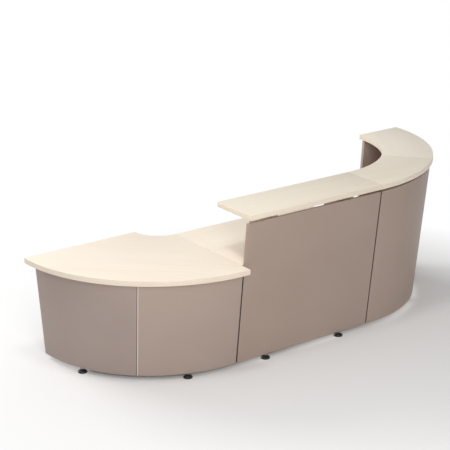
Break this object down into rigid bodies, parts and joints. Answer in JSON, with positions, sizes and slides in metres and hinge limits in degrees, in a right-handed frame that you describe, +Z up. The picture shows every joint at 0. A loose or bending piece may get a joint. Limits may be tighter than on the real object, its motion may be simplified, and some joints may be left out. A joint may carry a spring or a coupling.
{
  "type": "reception desk",
  "caption": "Modular reception desk: low quarter-round worktop, straight counter and tall quarter-round counter, with leaning taupe panels, maple tops and levelling feet.",
  "frame": {"origin": "middle of the desk's bounding box, on the floor", "axes": "+X along the straight front to the visitor's right, +Y from the visitor's side to the staff side, +Z up"},
  "size_m": [3.222, 1.058, 1.092],
  "materials": {
    "maple_board": "pale maple laminate, satin",
    "taupe_board": "taupe lacquered board, satin",
    "dark_steel": "dark brown powder coat",
    "black_plastic": "moulded, matt black",
    "foot_steel": "black coated pad and stem"
  },
  "bodies": {
    "desk": {"counter_shelf_curved_end": "maple_board", "counter_shelf_curved_inner": "maple_board", "counter_shelf_straight": "maple_board", "fan_worktop": "maple_board", "foot_block_low_end_back": "black_plastic", "foot_block_low_inner_back": "black_plastic", "foot_block_straight_left_back": "black_plastic", "foot_block_straight_right_back": "black_plastic", "foot_block_tall_end_back": "black_plastic", "foot_block_tall_end_front": "black_plastic", "foot_block_tall_middle_back": "black_plastic", "foot_block_tall_middle_front": "black_plastic", "gable_low_end": "taupe_board", "gable_low_inner": "taupe_board", "gable_straight_left": "taupe_board", "gable_straight_right": "taupe_board", "gable_tall_end": "taupe_board", "gable_tall_middle": "taupe_board", "joining_plate_shelf": "dark_steel", "joining_plate_worktop_back": "dark_steel", "joining_plate_worktop_front": "dark_steel", "low_panel_end": "taupe_board", "low_panel_inner": "taupe_board", "riser_straight_left": "taupe_board", "riser_straight_right": "taupe_board", "seam_strip_left": "dark_steel", "seam_strip_low": "dark_steel", "seam_strip_right": "dark_steel", "straight_panel": "taupe_board", "straight_worktop": "maple_board", "stretcher_board": "taupe_board", "tall_panel_end": "taupe_board", "tall_panel_inner": "taupe_board"},
    "levelling_foot_low_end_back": {"levelling_foot_low_end_back": "foot_steel"},
    "levelling_foot_low_end_front": {"levelling_foot_low_end_front": "foot_steel"},
    "levelling_foot_low_inner_back": {"levelling_foot_low_inner_back": "foot_steel"},
    "levelling_foot_low_inner_front": {"levelling_foot_low_inner_front": "foot_steel"},
    "levelling_foot_straight_left_back": {"levelling_foot_straight_left_back": "foot_steel"},
    "levelling_foot_straight_left_front": {"levelling_foot_straight_left_front": "foot_steel"},
    "levelling_foot_straight_right_back": {"levelling_foot_straight_right_back": "foot_steel"},
    "levelling_foot_straight_right_front": {"levelling_foot_straight_right_front": "foot_steel"},
    "levelling_foot_tall_end_back": {"levelling_foot_tall_end_back": "foot_steel"},
    "levelling_foot_tall_end_front": {"levelling_foot_tall_end_front": "foot_steel"},
    "levelling_foot_tall_middle_back": {"levelling_foot_tall_middle_back": "foot_steel"},
    "levelling_foot_tall_middle_front": {"levelling_foot_tall_middle_front": "foot_steel"}
  },
  "joints": [
    {"name": "level_low_end_back", "type": "slide", "parent": "desk", "child": "levelling_foot_low_end_back", "axis": [0, 0, -1], "range_m": [0, 0.02]},
    {"name": "level_low_end_front", "type": "slide", "parent": "desk", "child": "levelling_foot_low_end_front", "axis": [0, 0, -1], "range_m": [0, 0.02]},
    {"name": "level_low_inner_back", "type": "slide", "parent": "desk", "child": "levelling_foot_low_inner_back", "axis": [0, 0, -1], "range_m": [0, 0.02]},
    {"name": "level_low_inner_front", "type": "slide", "parent": "desk", "child": "levelling_foot_low_inner_front", "axis": [0, 0, -1], "range_m": [0, 0.02]},
    {"name": "level_straight_left_back", "type": "slide", "parent": "desk", "child": "levelling_foot_straight_left_back", "axis": [0, 0, -1], "range_m": [0, 0.02]},
    {"name": "level_straight_left_front", "type": "slide", "parent": "desk", "child": "levelling_foot_straight_left_front", "axis": [0, 0, -1], "range_m": [0, 0.02]},
    {"name": "level_straight_right_back", "type": "slide", "parent": "desk", "child": "levelling_foot_straight_right_back", "axis": [0, 0, -1], "range_m": [0, 0.02]},
    {"name": "level_straight_right_front", "type": "slide", "parent": "desk", "child": "levelling_foot_straight_right_front", "axis": [0, 0, -1], "range_m": [0, 0.02]},
    {"name": "level_tall_end_back", "type": "slide", "parent": "desk", "child": "levelling_foot_tall_end_back", "axis": [0, 0, -1], "range_m": [0, 0.02]},
    {"name": "level_tall_end_front", "type": "slide", "parent": "desk", "child": "levelling_foot_tall_end_front", "axis": [0, 0, -1], "range_m": [0, 0.02]},
    {"name": "level_tall_middle_back", "type": "slide", "parent": "desk", "child": "levelling_foot_tall_middle_back", "axis": [0, 0, -1], "range_m": [0, 0.02]},
    {"name": "level_tall_middle_front", "type": "slide", "parent": "desk", "child": "levelling_foot_tall_middle_front", "axis": [0, 0, -1], "range_m": [0, 0.02]}
  ]
}
